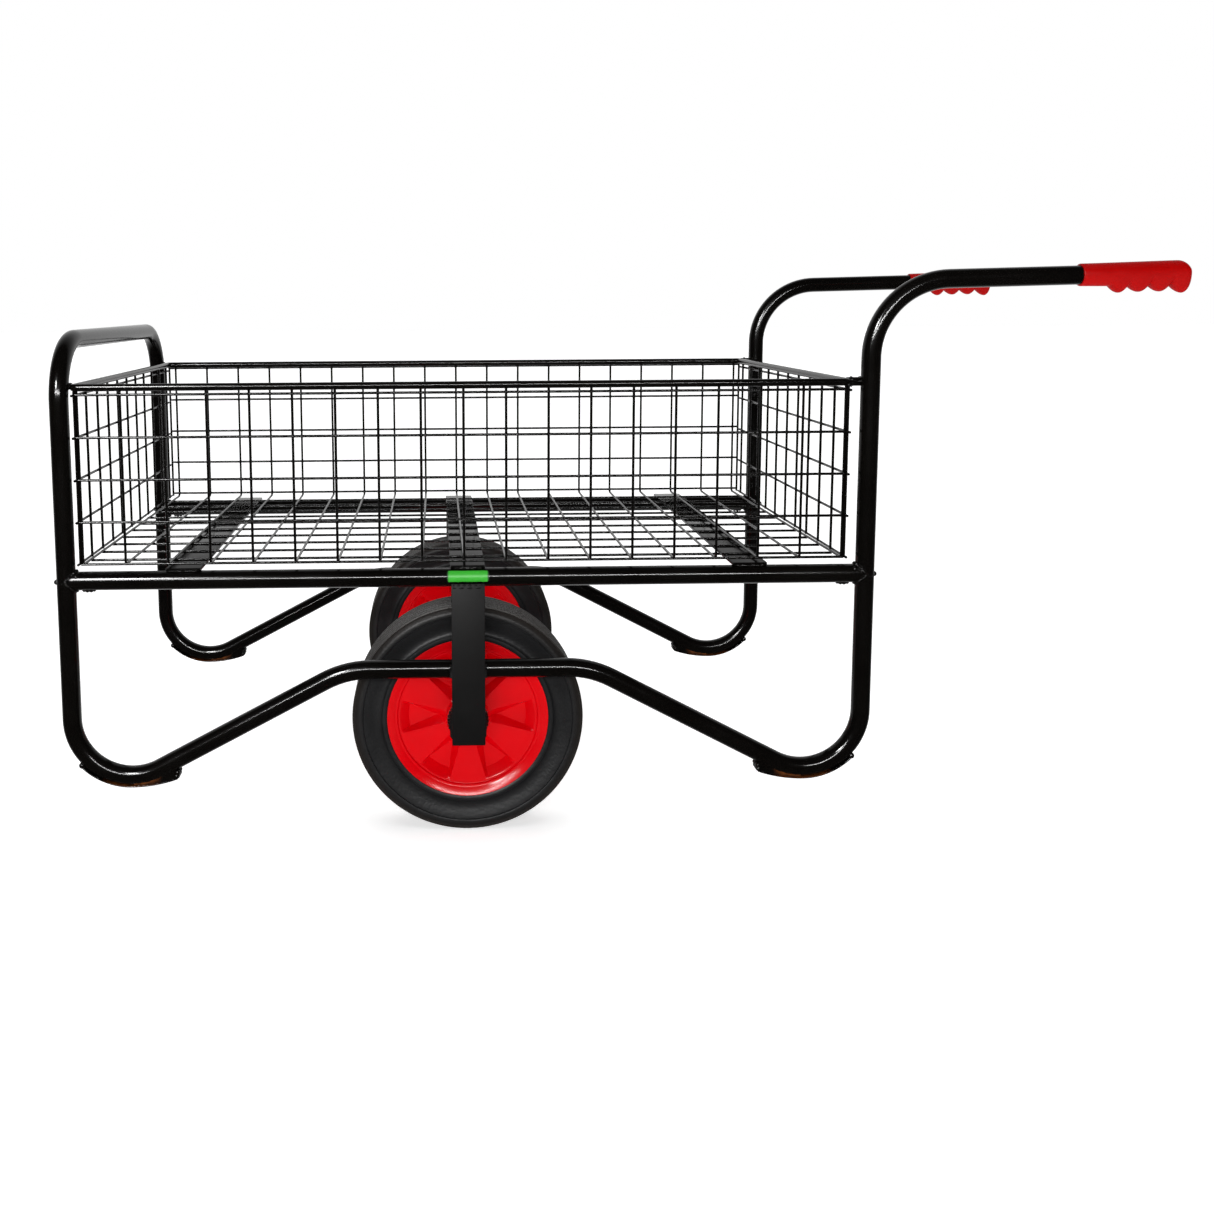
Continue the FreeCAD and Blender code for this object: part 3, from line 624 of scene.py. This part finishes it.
axle_low, axle_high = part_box("axle_shaft")
axle = np.array([(axle_low[0] + axle_high[0]) / 2, 0, (axle_low[2] + axle_high[2]) / 2])
rubber = tyre_rubber(axle)
for side, sign in sides:
    low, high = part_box(f"tyre_{side}")
    centre = np.array([axle[0], (low[1] + high[1]) / 2, axle[2]])
    half = (high[1] - low[1]) / 2
    top = high[2] - centre[2]
    seat = 0.151
    wall = [(0.0415, seat - 0.001), (0.0430, seat + 0.001), (0.0438, seat + 0.004),
            (0.0432, seat + 0.0075), (0.0400, seat + 0.0095), (0.0385, seat + 0.014),
            (0.0385, seat + 0.020), (0.0400, seat + 0.027), (0.0425, seat + 0.034),
            (0.0440, seat + 0.040), (0.0445, seat + 0.0432), (half - 0.0006, seat + 0.0442),
            (half, seat + 0.0455), (half, seat + 0.0525), (half - 0.0015, seat + 0.0545),
            (half - 0.0040, top - 0.0055), (half - 0.0065, top - 0.0035)]
    ribs = []
    edges = np.linspace(half - 0.0075, -(half - 0.0075), 12)
    for a, b in zip(edges[:-1:2], edges[1::2]):
        ribs += [(a, top - 0.0032), (a - 0.0008, top - 0.0004), ((a + b) / 2, top),
                 (b + 0.0008, top - 0.0004), (b, top - 0.0032)]
    outline = wall + ribs + [(-a, r) for a, r in wall[::-1]]
    mesh = skin(f"tyre_{side}", [(around_axle(outline, centre, sign, 192), True)], 40)
    fit(f"rubber_{side}", mesh, rubber, "tyre_rubber", f"wheel_{side}", f"tyre_{side}")

# ---- Wheel centres ----------------------------------------------------------
# Moulded gloss red plastic, the same on both faces. A sloping lip holds the
# tyre; inside it six raised wedges part six pockets with sloping walls.


def gloss_red(name, colour, shine, rough, depth):
    """Moulded red plastic or vinyl: a faint flow of lighter and darker colour,
    fine scuffs in the gloss, and a soft unevenness in the surface."""
    material, tree, shader = new_material(name)
    shader.inputs["Specular IOR Level"].default_value = shine
    flow = noise(tree, 14, 4)
    red, green, blue = colour
    shade = mixed(tree, flow, (red * 0.9, green, blue, 1),
                  (min(1, red * 1.1), green * 1.3, blue * 1.3, 1))
    tree.links.new(shade, shader.inputs["Base Color"])
    gloss = ranged(tree, noise(tree, 130, 5), 0, 1, rough - 0.04, rough + 0.05)
    tree.links.new(gloss, shader.inputs["Roughness"])
    tree.links.new(bumped(tree, flow, depth, 0.0006), shader.inputs["Normal"])
    return material


def wheel_face(spin):
    """One face of the wheel, as X, height and Z on a grid. The pocket is
    a sector of half angle 14.5 degrees, its depth 15 mm times how far a point
    is in from the wall, over the wall's width. The wall is 14 mm wide at the
    apex (radius 56) and 5.5 mm at radius 110; the outer wall runs 110 to 127."""
    away = np.array([16.5, 38, 39.5, 40, 40.4, 42, 46, 51, 56, 62, 70, 80, 90, 100, 110, 112,
                     118, 124, 126.5, 127.3, 128.5, 130, 131, 132, 134.5, 136, 137, 149.6,
                     150.6, 151]) / 1000
    out = np.array([46, 46, 45.4, 43, 33, 32, 31.6, 31.4, 31.2, 31, 31, 31, 31, 31, 31, 31,
                    31, 31, 31, 31, 31, 31.6, 33.6, 34.6, 35.2, 35.8, 36.6, 41.6,
                    41.4, 40.6]) / 1000
    apex, full = 0.056, 0.110
    wide = np.clip((away - apex) / (full - apex), 0, 1)
    wall = 0.014 * (1 - wide) + 0.0055 * wide
    half = away * math.sin(math.radians(14.5))
    floor_half = np.clip((half - wall) * np.clip((away - apex) / 0.004, 0, 1), 0.0004, None)
    floor_turn = np.degrees(np.arcsin(np.clip(floor_half / away, 0, 0.24)))
    parts = [floor_turn * 0, floor_turn * 0.5, floor_turn, (floor_turn + 14.3) / 2]
    parts += [np.full_like(away, degrees) for degrees in (14.0, 14.5, 15.1, 16.5, 19, 22, 26, 30)]
    fold = np.array(parts)
    inset = half - away * np.sin(np.radians(fold))
    deep = np.clip(inset / np.minimum(wall, half), 0, 1)
    deep = deep * np.clip((away - 0.0404) / 0.012, 0, 1) * np.clip((0.127 - away) / 0.017, 0, 1)
    soft = 0.0004 * (np.abs(fold - 14.5) < 0.7) * (away > 0.044) * (away < 0.127)
    height = out - 0.015 * deep - soft
    mirrored = np.concatenate([fold, 60 - fold[-2:0:-1]])
    height = np.concatenate([height, height[-2:0:-1]])
    turns = np.concatenate([mirrored + 60 * k for k in range(6)])
    height = np.tile(height, (6, 1))
    angle = np.radians(turns + spin)
    return away * np.cos(angle), height, away * np.sin(angle)


wheel_red = gloss_red("wheel_red", (0.67, 0.0002, 0.0030), 0.22, 0.17, 0.18)
for side, sign, spin in (("left", -1, 0), ("right", 1, 30)):
    middle_y = sum(corner[1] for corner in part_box(f"tyre_{side}")) / 2
    across_x, height, across_z = wheel_face(spin)
    faces = [np.stack([axle[0] + across_x, middle_y + way * height, axle[2] + across_z], -1)
             for way in (1, -1)]
    grid = np.concatenate([faces[0], faces[1][:, ::-1]], 1)
    mesh = skin(f"disc_{side}", [(grid, True)], 26)
    fit(f"disc_{side}", mesh, wheel_red, "wheel_red", f"wheel_{side}", f"wheel_centre_{side}")

# ---- Hub discs and bushes ---------------------------------------------------
# A black plastic disc with an open, toothed edge caps the outer end of each
# hub, over the plain bushes that turn on the axle.


def dull_black():
    """Matt black plastic with a fine moulded grain and pale specks at the grain's cell centres."""
    material, tree, shader = new_material("dull_black")
    shader.inputs["Roughness"].default_value = 0.4
    place = tree.nodes.new("ShaderNodeTexCoord")
    grain = tree.nodes.new("ShaderNodeTexVoronoi")
    grain.inputs["Scale"].default_value = 210
    tree.links.new(place.outputs["Object"], grain.inputs["Vector"])
    near = ranged(tree, grain.outputs["Distance"], 0.10, 0.26)
    shade = mixed(tree, near, (0.30, 0.24, 0.20, 1), (0.006, 0.006, 0.006, 1))
    tree.links.new(shade, shader.inputs["Base Color"])
    moulded = bumped(tree, grain.outputs["Distance"], 0.4, 0.001)
    tree.links.new(moulded, shader.inputs["Normal"])
    return material


black = dull_black()
for side, sign in sides:
    low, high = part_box(f"hub_disc_{side}")
    near = low[1] if sign > 0 else high[1]
    size = (high[2] - low[2]) / 2
    deep = high[1] - low[1]
    outline = np.array([(0, 0.0130), (0, size - 0.001), (0.0015, size), (deep - 0.0025, size),
                        (deep, size - 0.003), (deep, size - 0.010), (deep - 0.0015, size - 0.0115),
                        (deep - 0.0015, 0.0260), (deep, 0.0245), (deep, 0.0130)])
    grid = around_axle(outline, (axle[0], near, axle[2]), sign, 256)
    teeth = np.where(np.arange(256) % 8 < 4, 1.0, 0.90)
    toothed = grid[:, 1:5] - axle
    toothed[..., ::2] *= teeth[:, None, None]
    grid[:, 1:5] = axle + toothed
    mesh = skin(f"cap_{side}", [(grid, True)], 30)
    fit(f"cap_{side}", mesh, black, "bush_plastic", f"wheel_{side}", f"hub_disc_{side}")
    for name in (f"hub_bush_outer_{side}", f"hub_bush_inner_{side}"):
        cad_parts[name].data.materials.clear()
        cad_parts[name].data.materials.append(black)

# ---- Axle and its small parts -----------------------------------------------
# A round bright steel bar runs right through, with a spacer and a washer at
# each wheel and a collar that stops the wheel moving inwards. Zinc plated.


def zinc():
    """Zinc on steel, a little cloudy, with fine turning lines."""
    material, tree, shader = new_material("zinc")
    shader.inputs["Metallic"].default_value = 1.0
    cloud = noise(tree, 40, 5)
    shade = mixed(tree, cloud, (0.17, 0.17, 0.175, 1), (0.28, 0.28, 0.275, 1))
    tree.links.new(shade, shader.inputs["Base Color"])
    tree.links.new(ranged(tree, cloud, 0, 1, 0.25, 0.45), shader.inputs["Roughness"])
    place = tree.nodes.new("ShaderNodeTexCoord")
    lines = tree.nodes.new("ShaderNodeTexWave")
    lines.bands_direction = "Y"
    lines.inputs["Scale"].default_value = 300
    lines.inputs["Distortion"].default_value = 1.5
    tree.links.new(place.outputs["Object"], lines.inputs["Vector"])
    tree.links.new(bumped(tree, lines.outputs["Fac"], 0.08, 0.0003), shader.inputs["Normal"])
    return material


steel = zinc()
plated = ["axle_shaft"]
for side, sign in sides:
    plated += [f"axle_spacer_{side}", f"axle_washer_{side}", f"axle_collar_{side}"]
for name in plated:
    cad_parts[name].data.materials.clear()
    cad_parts[name].data.materials.append(steel)

# ---- Hand grips -------------------------------------------------------------
# Soft red vinyl sleeves pushed over the tube ends: a plain collar, a straight
# top, four finger swells underneath with sharp valleys, and a rounded end.
grip_red = gloss_red("grip_red", (0.38, 0.0002, 0.0002), 0.08, 0.40, 0.5)


def drawn_in(s, end, radius):
    """How far a surface has curved inwards on its way round a rounded end."""
    into = np.clip((s - (end - radius)) / radius, 0, 1)
    return radius * (1 - np.sqrt(1 - into ** 2))


for side, sign in sides:
    low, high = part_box(f"hand_grip_{side}")
    long = 0.193
    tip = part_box(f"handle_tube_{side}")[1]
    tip = np.array([tip[0] - tube * math.sin(rise), sign * frame_y, tip[2] - tube * math.cos(rise)])
    ahead = np.array([math.cos(rise), 0, math.sin(rise)])
    upward = np.array([-math.sin(rise), 0, math.cos(rise)])
    start = tip + ahead * ((low[0] - tip[0]) / math.cos(rise) + 0.0035)
    s = np.unique(np.concatenate([
        [0, 0.0008, 0.002, 0.046, 0.050, 0.0515], np.linspace(0.0518, 0.1695, 110),
        long - 0.0235 * (1 - np.sin(np.linspace(0, np.pi / 2, 40)))]))
    over = 0.0200 + 0.0014 * np.clip((s - 0.02) / 0.14, 0, 1)
    beside = 0.0198 + 0.0012 * np.clip((s - 0.05) / 0.03, 0, 1)
    under = 0.0196 + 0.0014 * np.clip(s / 0.05, 0, 1)
    # Each finger swell: where it starts and ends, where it is lowest, how deep.
    for a, b, low_at, tall in ((0.0518, 0.0845, 0.0700, 0.0140), (0.0845, 0.1220, 0.1060, 0.0134),
                               (0.1220, 0.1595, 0.1432, 0.0138), (0.1595, 0.2080, 0.1840, 0.0172)):
        t = np.where(s < low_at, (s - a) / (low_at - a), 1 + (s - low_at) / (b - low_at)) / 2
        under = np.maximum(under, 0.0190 + tall * np.sin(np.pi * np.clip(t, 0, 1)) ** 0.75)
    for line in (over, beside, under):
        line[:2] -= (0.0010, 0.0003)
    over -= drawn_in(s, long, 0.0190)
    beside -= drawn_in(s, long, 0.0110)
    under -= drawn_in(s, long, 0.0120)
    angle = np.linspace(0, 2 * np.pi, 64, endpoint=False)[None]
    up_part = np.where(np.cos(angle) > 0, over[:, None], under[:, None]) * np.cos(angle)
    side_part = beside[:, None] * np.sin(angle)
    grid = (start + ahead * s[:, None])[:, None] + upward * up_part[..., None] \
        + across_cart * side_part[..., None]
    mesh = skin(f"grip_{side}", [(grid, False)], 40)
    fit(f"grip_{side}", mesh, grip_red, "grip_red", "root", f"hand_grip_{side}")

# ---- Label ------------------------------------------------------------------
# A small printed vinyl sticker on the left rail above the strap: plain green
# with a thin dark line at each end, and no lettering.


def printed_green(low, high):
    """Green vinyl: darker within a small distance of the short ends."""
    material, tree, shader = new_material("printed_green")
    shader.inputs["Roughness"].default_value = 0.35
    shader.inputs["Specular IOR Level"].default_value = 0.3
    place = tree.nodes.new("ShaderNodeTexCoord")
    parts = tree.nodes.new("ShaderNodeSeparateXYZ")
    tree.links.new(place.outputs["Object"], parts.inputs["Vector"])
    middle = tree.nodes.new("ShaderNodeMath")
    middle.operation = "SUBTRACT"
    middle.inputs[1].default_value = (low[0] + high[0]) / 2
    tree.links.new(parts.outputs["X"], middle.inputs[0])
    away = tree.nodes.new("ShaderNodeMath")
    away.operation = "ABSOLUTE"
    tree.links.new(middle.outputs["Value"], away.inputs[0])
    end = (high[0] - low[0]) / 2
    edge = ranged(tree, away.outputs["Value"], end - 0.0030, end - 0.0020)
    ink = mixed(tree, noise(tree, 180), (0.022, 0.36, 0.018, 1), (0.040, 0.45, 0.026, 1))
    green = mixed(tree, edge, ink, (0.010, 0.060, 0.012, 1))
    tree.links.new(green, shader.inputs["Base Color"])
    return material


low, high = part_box("maker_label")
outer = tube + 0.0004
lowest, highest = (math.asin(np.clip((z - rail_z) / outer, -1, 1)) for z in (low[2], high[2]))
centre, half = (lowest + highest) / 2, (highest - lowest) / 2 * 0.80
x = np.linspace(low[0], high[0], 61)
corner = 0.004
narrow = (drawn_in(x, high[0], corner) + drawn_in(low[0] + high[0] - x, high[0], corner)) / outer
turn_by = centre + np.linspace(-1, 1, 24) * (half - narrow)[:, None]
grid = []
for radius, angle in ((outer, turn_by), (tube + 0.0001, turn_by[:, ::-1])):
    grid.append(np.stack([np.broadcast_to(x[:, None], angle.shape),
                          -frame_y - radius * np.cos(angle), rail_z + radius * np.sin(angle)], -1))
mesh = skin("sticker", [(np.concatenate(grid, 1), False)], 40)
fit("sticker", mesh, printed_green(low, high), "label_green", "root", "maker_label")

# ---- Floor, light and camera ------------------------------------------------
# A plain pale floor under an even soft light from above, a pale wall of light
# behind, and soft boxes in front. The camera stands beside the cart.
floor = bpy.data.meshes.new("floor")
floor.from_pydata([(-40, -40, 0), (40, -40, 0), (40, 40, 0), (-40, 40, 0)], [], [(0, 1, 2, 3)])
floor_material, _, floor_shader = new_material("pale_floor")
floor_shader.inputs["Base Color"].default_value = (0.95, 0.95, 0.95, 1)
floor_shader.inputs["Roughness"].default_value = 1.0
floor_shader.inputs["Specular IOR Level"].default_value = 0.0
floor_shader.inputs["Emission Color"].default_value = (1, 1, 1, 1)
floor_shader.inputs["Emission Strength"].default_value = 0.55
floor.materials.append(floor_material)
ground = bpy.data.objects.new("floor", floor)
bpy.context.scene.collection.objects.link(ground)
# Paint and plastic don't mirror the floor.
ground.visible_glossy = False

world = bpy.data.worlds.new("studio")
world.use_nodes = True
bpy.context.scene.world = world
tree = world.node_tree
room = tree.nodes["Background"]
room.inputs["Color"].default_value = (1, 1, 1, 1)
direction = tree.nodes.new("ShaderNodeTexCoord")
parts = tree.nodes.new("ShaderNodeSeparateXYZ")
tree.links.new(direction.outputs["Generated"], parts.inputs["Vector"])
tree.links.new(ranged(tree, parts.outputs["Y"], 0.2, 0.8, 0.02, 0.75), room.inputs["Strength"])
white = tree.nodes.new("ShaderNodeBackground")
white.inputs["Color"].default_value = (1, 1, 1, 1)
white.inputs["Strength"].default_value = 1.0
ray = tree.nodes.new("ShaderNodeLightPath")
seen = tree.nodes.new("ShaderNodeMixShader")
tree.links.new(ray.outputs["Is Camera Ray"], seen.inputs["Fac"])
tree.links.new(room.outputs["Background"], seen.inputs[1])
tree.links.new(white.outputs["Background"], seen.inputs[2])
tree.links.new(seen.outputs["Shader"], tree.nodes["World Output"].inputs["Surface"])


def placed(at, back, level):
    """A frame at a point whose Z axis is back and whose X axis is level."""
    turned = np.eye(4)
    turned[:3, 0] = level
    turned[:3, 1] = np.cross(back, level)
    turned[:3, 2] = back
    turned[:3, 3] = at
    return Matrix(turned.tolist())


above = bpy.data.lights.new("above", "SUN")
above.energy = 1.6
above.angle = math.radians(70)
sky = bpy.data.objects.new("above", above)
sky.matrix_world = placed((0, 0, 4), np.array([0, 0, 1.0]), np.array([1.0, 0, 0]))
sky.visible_glossy = False
bpy.context.scene.collection.objects.link(sky)
for name, at, aim, wide, tall, power, lit in (
        ("front_fill", (-0.9, -4.8, 1.7), (-0.3, 0, 0.5), 2.6, 1.6, 120, "diffuse"),
        ("front_strip", (-0.7, -4.6, 1.95), (-0.3, 0, 0.5), 4.4, 0.16, 190, "glossy"),
        ("front_key", (-1.9, -3.6, 2.5), (-0.3, 0, 0.4), 0.6, 0.6, 115, "glossy")):
    lamp = bpy.data.lights.new(name, "AREA")
    lamp.shape = "RECTANGLE"
    lamp.size = wide
    lamp.size_y = tall
    lamp.energy = power
    light = bpy.data.objects.new(name, lamp)
    away = np.array(at) - np.array(aim)
    away = away / np.linalg.norm(away)
    level = np.cross((0, 0, 1), away)
    light.matrix_world = placed(at, away, level / np.linalg.norm(level))
    light.visible_diffuse = lit == "diffuse"
    light.visible_glossy = lit == "glossy"
    bpy.context.scene.collection.objects.link(light)

yaw, pitch, roll = (math.radians(v) for v in (1.04, 6.54, -0.37))
forward = np.array([math.sin(yaw) * math.cos(pitch), math.cos(yaw) * math.cos(pitch),
                    -math.sin(pitch)])
level = np.array([math.cos(yaw), -math.sin(yaw), 0])
upright = np.cross(level, forward)
level = level * math.cos(roll) + upright * math.sin(roll)
lens = bpy.data.cameras.new("camera")
lens.sensor_width = 36
lens.lens = 36.51
lens.shift_x = 0.124
lens.shift_y = -0.135
lens.clip_end = 200
camera = bpy.data.objects.new("camera", lens)
camera.matrix_world = placed((-0.3296, -2.5631, 0.985), -forward, level)
bpy.context.scene.collection.objects.link(camera)
bpy.context.scene.camera = camera
bpy.context.scene.view_settings.view_transform = "Standard"
